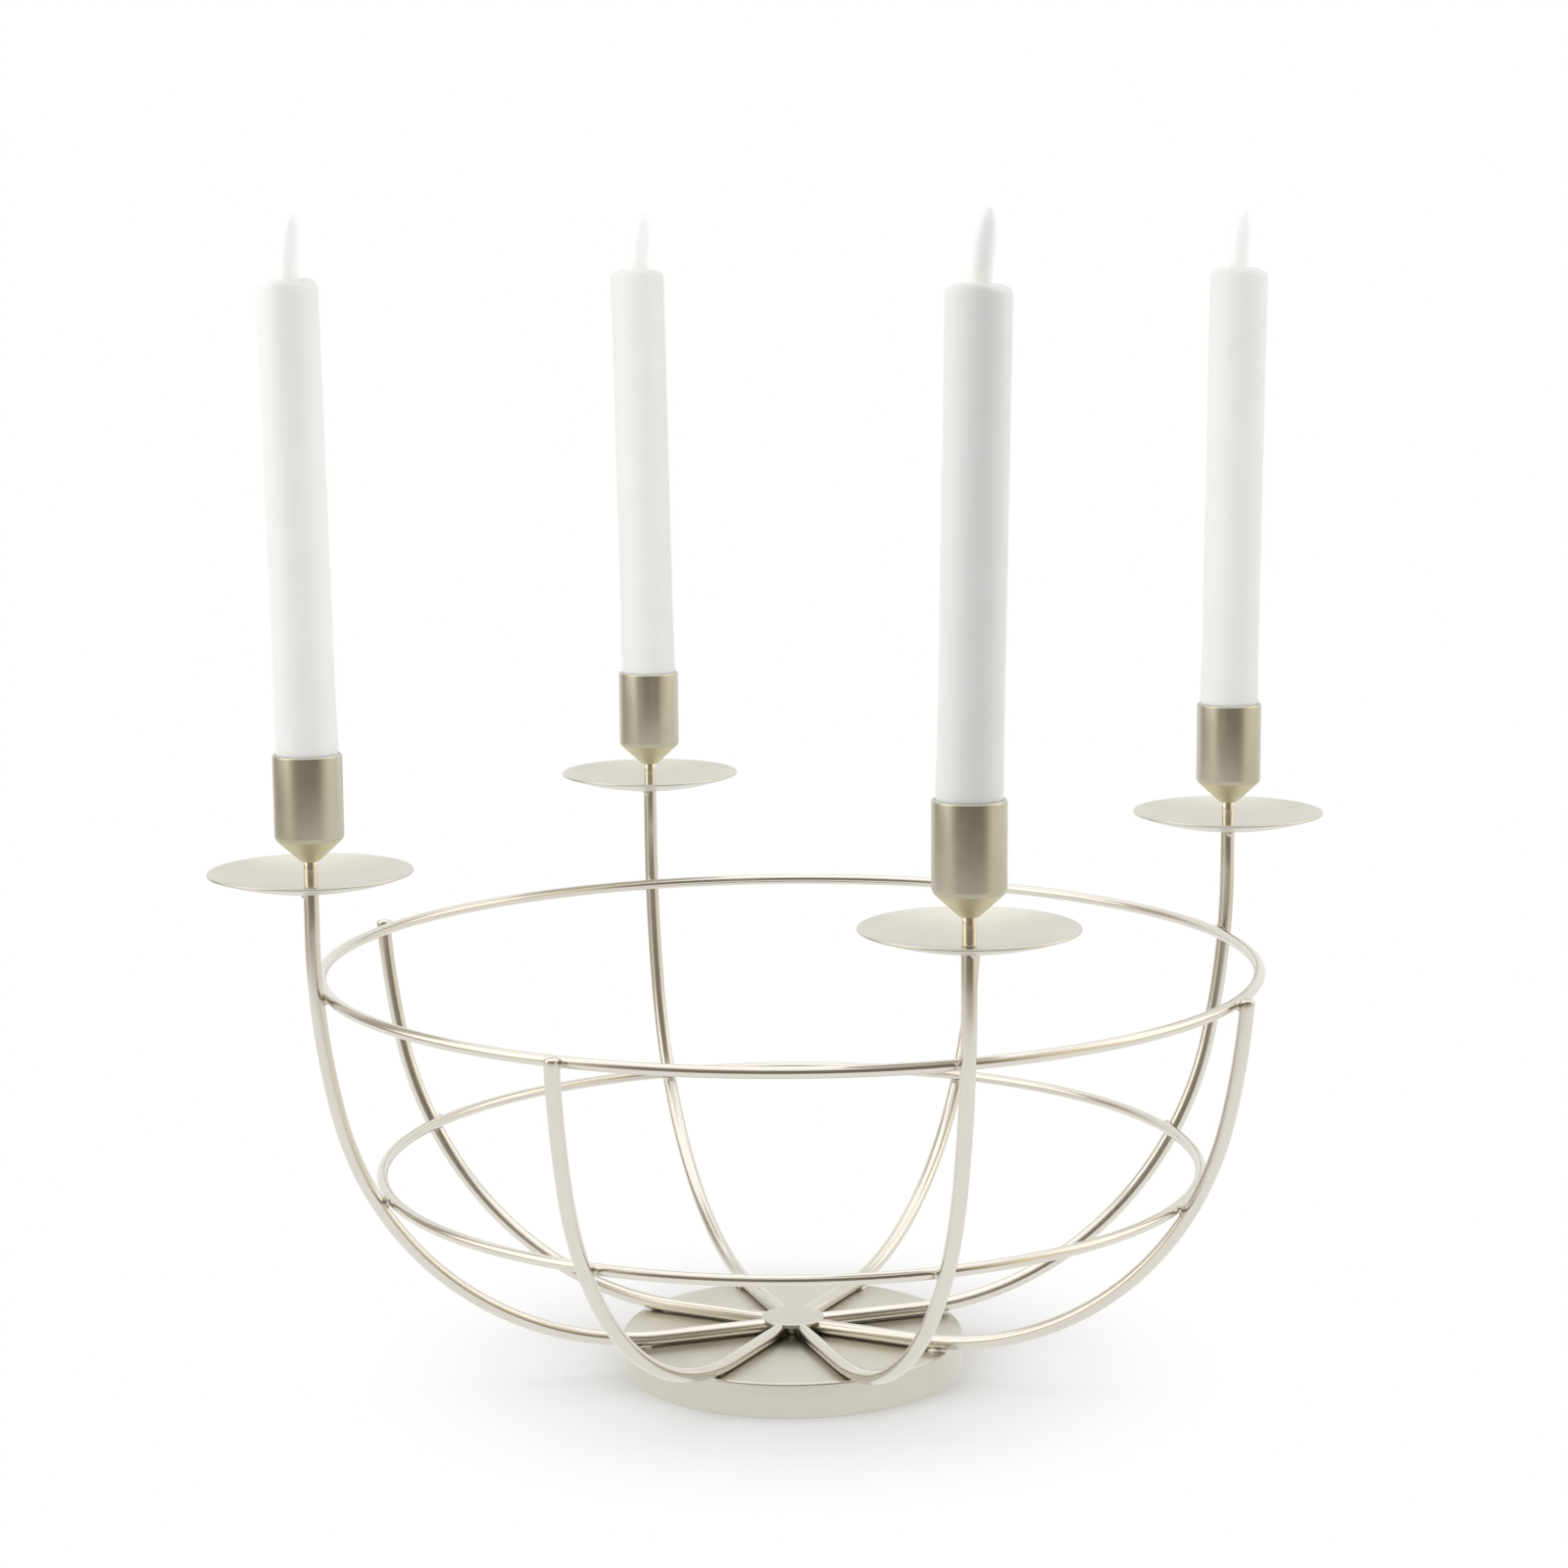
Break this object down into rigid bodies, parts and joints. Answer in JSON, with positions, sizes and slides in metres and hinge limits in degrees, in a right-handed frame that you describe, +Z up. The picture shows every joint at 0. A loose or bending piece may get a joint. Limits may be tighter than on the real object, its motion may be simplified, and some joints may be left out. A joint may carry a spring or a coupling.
{
  "type": "advent candle holder",
  "caption": "Round wire bowl on a flat foot, with stems that carry drip dishes and candle cups for battery candles.",
  "frame": {"origin": "centre of the foot's rim on the table", "axes": "+Z up along the holder's axis; long ribs and candles on the X and Y axes"},
  "size_m": [0.4176, 0.4176, 0.4169],
  "materials": {
    "satin_champagne_steel": "welded steel wire and sheet, plated satin champagne",
    "turned_champagne_cup": "turned steel, plated satin champagne",
    "polished_brass_neck": "turned tube, polished pale brass",
    "zinc_screw": "zinc plated",
    "white_wax": "plastic tube dipped in white wax",
    "white_flame": "moulded translucent white",
    "green_board": "lacquered board",
    "cell_can": "sleeved steel can",
    "contact_brass": "stamped plate",
    "lead_sleeve": "sleeved wire",
    "white_cap": "moulded white",
    "black_switch": "moulded black"
  },
  "bodies": {
    "holder": {"base_pan": "satin_champagne_steel", "hub_disc": "satin_champagne_steel", "upper_ring": "satin_champagne_steel", "lower_ring": "satin_champagne_steel", "cup_screws": "zinc_screw", "long_rib_1": "satin_champagne_steel", "long_rib_2": "satin_champagne_steel", "long_rib_3": "satin_champagne_steel", "long_rib_4": "satin_champagne_steel", "short_rib_1": "satin_champagne_steel", "short_rib_2": "satin_champagne_steel", "short_rib_3": "satin_champagne_steel", "short_rib_4": "satin_champagne_steel", "drip_dish_1": "satin_champagne_steel", "drip_dish_2": "satin_champagne_steel", "drip_dish_3": "satin_champagne_steel", "drip_dish_4": "satin_champagne_steel", "neck_sleeve_1": "polished_brass_neck", "neck_sleeve_2": "polished_brass_neck", "neck_sleeve_3": "polished_brass_neck", "neck_sleeve_4": "polished_brass_neck", "candle_cup_1": "turned_champagne_cup", "candle_cup_2": "turned_champagne_cup", "candle_cup_3": "turned_champagne_cup", "candle_cup_4": "turned_champagne_cup"},
    "candle_1": {"candle_body_1": "white_wax", "candle_flame_1": "white_flame", "led_board_1": "green_board", "battery_cells_1": "cell_can", "contact_plate_1": "contact_brass", "lamp_leads_1": "lead_sleeve"},
    "cap_1": {"battery_cap_1": "white_cap"},
    "switch_1": {"switch_slider_1": "black_switch"},
    "candle_2": {"candle_body_2": "white_wax", "candle_flame_2": "white_flame", "led_board_2": "green_board", "battery_cells_2": "cell_can", "contact_plate_2": "contact_brass", "lamp_leads_2": "lead_sleeve"},
    "cap_2": {"battery_cap_2": "white_cap"},
    "switch_2": {"switch_slider_2": "black_switch"},
    "candle_3": {"candle_body_3": "white_wax", "candle_flame_3": "white_flame", "led_board_3": "green_board", "battery_cells_3": "cell_can", "contact_plate_3": "contact_brass", "lamp_leads_3": "lead_sleeve"},
    "cap_3": {"battery_cap_3": "white_cap"},
    "switch_3": {"switch_slider_3": "black_switch"},
    "candle_4": {"candle_body_4": "white_wax", "candle_flame_4": "white_flame", "led_board_4": "green_board", "battery_cells_4": "cell_can", "contact_plate_4": "contact_brass", "lamp_leads_4": "lead_sleeve"},
    "cap_4": {"battery_cap_4": "white_cap"},
    "switch_4": {"switch_slider_4": "black_switch"}
  },
  "joints": [
    {"name": "candle_lift_1", "type": "slide", "parent": "holder", "child": "candle_1", "axis": [0, 0, 1], "range_m": [0, 0.05]},
    {"name": "cap_twist_1", "type": "hinge", "parent": "candle_1", "child": "cap_1", "pos_m": [0.17336, 0, 0.212], "axis": [0, 0, 1], "range_deg": [0, 45]},
    {"name": "switch_slide_1", "type": "slide", "parent": "cap_1", "child": "switch_1", "axis": [0, 1, 0], "range_m": [0, 0.003]},
    {"name": "candle_lift_2", "type": "slide", "parent": "holder", "child": "candle_2", "axis": [0, 0, 1], "range_m": [0, 0.05]},
    {"name": "cap_twist_2", "type": "hinge", "parent": "candle_2", "child": "cap_2", "pos_m": [0, 0.17336, 0.212], "axis": [0, 0, 1], "range_deg": [0, 45]},
    {"name": "switch_slide_2", "type": "slide", "parent": "cap_2", "child": "switch_2", "axis": [-1, 0, 0], "range_m": [0, 0.003]},
    {"name": "candle_lift_3", "type": "slide", "parent": "holder", "child": "candle_3", "axis": [0, 0, 1], "range_m": [0, 0.05]},
    {"name": "cap_twist_3", "type": "hinge", "parent": "candle_3", "child": "cap_3", "pos_m": [-0.17336, 0, 0.212], "axis": [0, 0, 1], "range_deg": [0, 45]},
    {"name": "switch_slide_3", "type": "slide", "parent": "cap_3", "child": "switch_3", "axis": [0, -1, 0], "range_m": [0, 0.003]},
    {"name": "candle_lift_4", "type": "slide", "parent": "holder", "child": "candle_4", "axis": [0, 0, 1], "range_m": [0, 0.05]},
    {"name": "cap_twist_4", "type": "hinge", "parent": "candle_4", "child": "cap_4", "pos_m": [0, -0.17336, 0.212], "axis": [0, 0, 1], "range_deg": [0, 45]},
    {"name": "switch_slide_4", "type": "slide", "parent": "cap_4", "child": "switch_4", "axis": [1, 0, 0], "range_m": [0, 0.003]}
  ]
}
